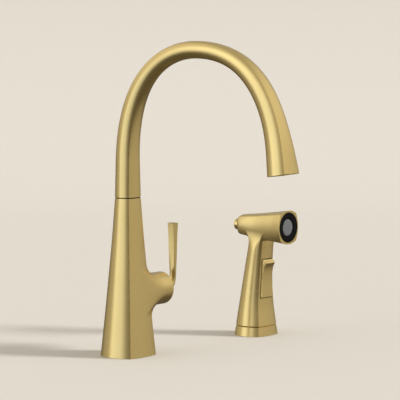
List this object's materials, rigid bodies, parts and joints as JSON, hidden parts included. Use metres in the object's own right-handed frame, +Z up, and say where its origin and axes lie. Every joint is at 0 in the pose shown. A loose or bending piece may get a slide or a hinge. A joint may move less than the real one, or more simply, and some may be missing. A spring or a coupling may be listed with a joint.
{
  "type": "kitchen faucet with side spray",
  "caption": "Tall swing-spout kitchen faucet with a square-sided tapering body, a side lever and a separate side spray in its own deck holder.",
  "frame": {"origin": "middle of the faucet body's base, on the deck", "axes": "+Z up, the spout reaches towards -Y, the lever and the side spray are on the +X side"},
  "size_m": [0.3111, 0.2869, 0.4],
  "materials": {
    "finish_brass": "satin brushed, warm brass",
    "inner_brass": "plain cast and turned brass",
    "steel": "plain stainless steel",
    "black_plastic": "matte black",
    "grey_plastic": "matte grey, soft spray face",
    "white_plastic": "matte white acetal",
    "nylon": "matte natural nylon",
    "ceramic": "lapped alumina ceramic",
    "rubber": "black rubber"
  },
  "bodies": {
    "faucet_base": {"base_gasket": "rubber", "body_shell": "finish_brass", "mounting_flange": "steel", "hot_inlet": "inner_brass", "cold_inlet": "inner_brass", "spray_outlet": "inner_brass", "valve_body": "inner_brass", "diverter_sleeve": "nylon", "diverter_spring": "steel", "riser_tube": "inner_brass", "swivel_post": "inner_brass", "swivel_washer": "black_plastic", "lower_o_ring": "rubber", "upper_o_ring": "rubber", "retaining_clip": "steel", "cartridge_seal": "rubber", "cartridge_base": "white_plastic", "fixed_disc": "ceramic", "cartridge_housing": "white_plastic", "cartridge_nut": "inner_brass", "bonnet_ring": "finish_brass", "holder_gasket": "rubber", "spray_holder": "finish_brass", "holder_liner": "black_plastic"},
    "diverter": {"diverter_piston": "nylon"},
    "spout": {"spout_shell": "finish_brass", "spout_adapter": "inner_brass", "outlet_bushing": "inner_brass", "aerator_housing": "finish_brass", "aerator_screen": "white_plastic", "aerator_washer": "rubber"},
    "rotor": {"cartridge_rotor": "nylon"},
    "disc": {"moving_disc": "ceramic", "disc_carrier": "nylon"},
    "lever": {"lever_stem": "steel", "ball_cap": "finish_brass", "lever_arm": "finish_brass", "lever_screw": "steel", "screw_plug": "finish_brass"},
    "wand": {"wand_shell": "finish_brass", "wand_plug": "inner_brass", "hose_nipple": "steel", "lower_wand_tube": "nylon", "spray_valve": "nylon", "upper_wand_tube": "nylon", "poppet_spring": "steel", "head_manifold": "nylon", "nozzle_ring": "black_plastic", "spray_face": "grey_plastic", "button_spring": "steel", "trigger_pin": "steel"},
    "trigger_lever": {"trigger": "finish_brass"},
    "spray_poppet": {"poppet": "steel"},
    "selector": {"mode_button": "finish_brass"}
  },
  "joints": [
    {"name": "spout_swivel", "type": "hinge", "parent": "faucet_base", "child": "spout", "pos_m": [0, 0, 0.2018], "axis": [0, 0, 1], "range_deg": [-90, 90]},
    {"name": "lever_temperature", "type": "hinge", "parent": "faucet_base", "child": "rotor", "pos_m": [0.052, 0, 0.0805], "axis": [1, 0, 0], "range_deg": [-45, 45]},
    {"name": "lever_flow", "type": "hinge", "parent": "rotor", "child": "lever", "pos_m": [0.052, 0, 0.0805], "axis": [0, 1, 0], "range_deg": [0, 20]},
    {"name": "disc_shift", "type": "slide", "parent": "rotor", "child": "disc", "axis": [0, 0, 1], "range_m": [0, 0.0077]},
    {"name": "diverter_shift", "type": "slide", "parent": "faucet_base", "child": "diverter", "axis": [0, 0, 1], "range_m": [0, 0.003], "stiffness_N_per_m": 200, "springref_m": -0.002},
    {"name": "wand_lift", "type": "slide", "parent": "faucet_base", "child": "wand", "axis": [0, 0, 1], "range_m": [0, 0.05]},
    {"name": "trigger_press", "type": "hinge", "parent": "wand", "child": "trigger_lever", "pos_m": [0.248, -0.0285, 0.056], "axis": [-1, 0, 0], "range_deg": [0, 6], "stiffness_Nm_per_rad": 0.8, "springref_deg": -11.46},
    {"name": "poppet_press", "type": "slide", "parent": "wand", "child": "spray_poppet", "axis": [0, 1, 0], "range_m": [0, 0.004]},
    {"name": "selector_press", "type": "slide", "parent": "wand", "child": "selector", "axis": [0, -1, 0], "range_m": [0, 0.003], "stiffness_N_per_m": 400, "springref_m": -0.003}
  ],
  "couplings": [
    {"joint": "disc_shift", "follows": "lever_flow", "m_per_rad": 0.0217},
    {"joint": "poppet_press", "follows": "trigger_press", "m_per_rad": 0.0375}
  ]
}
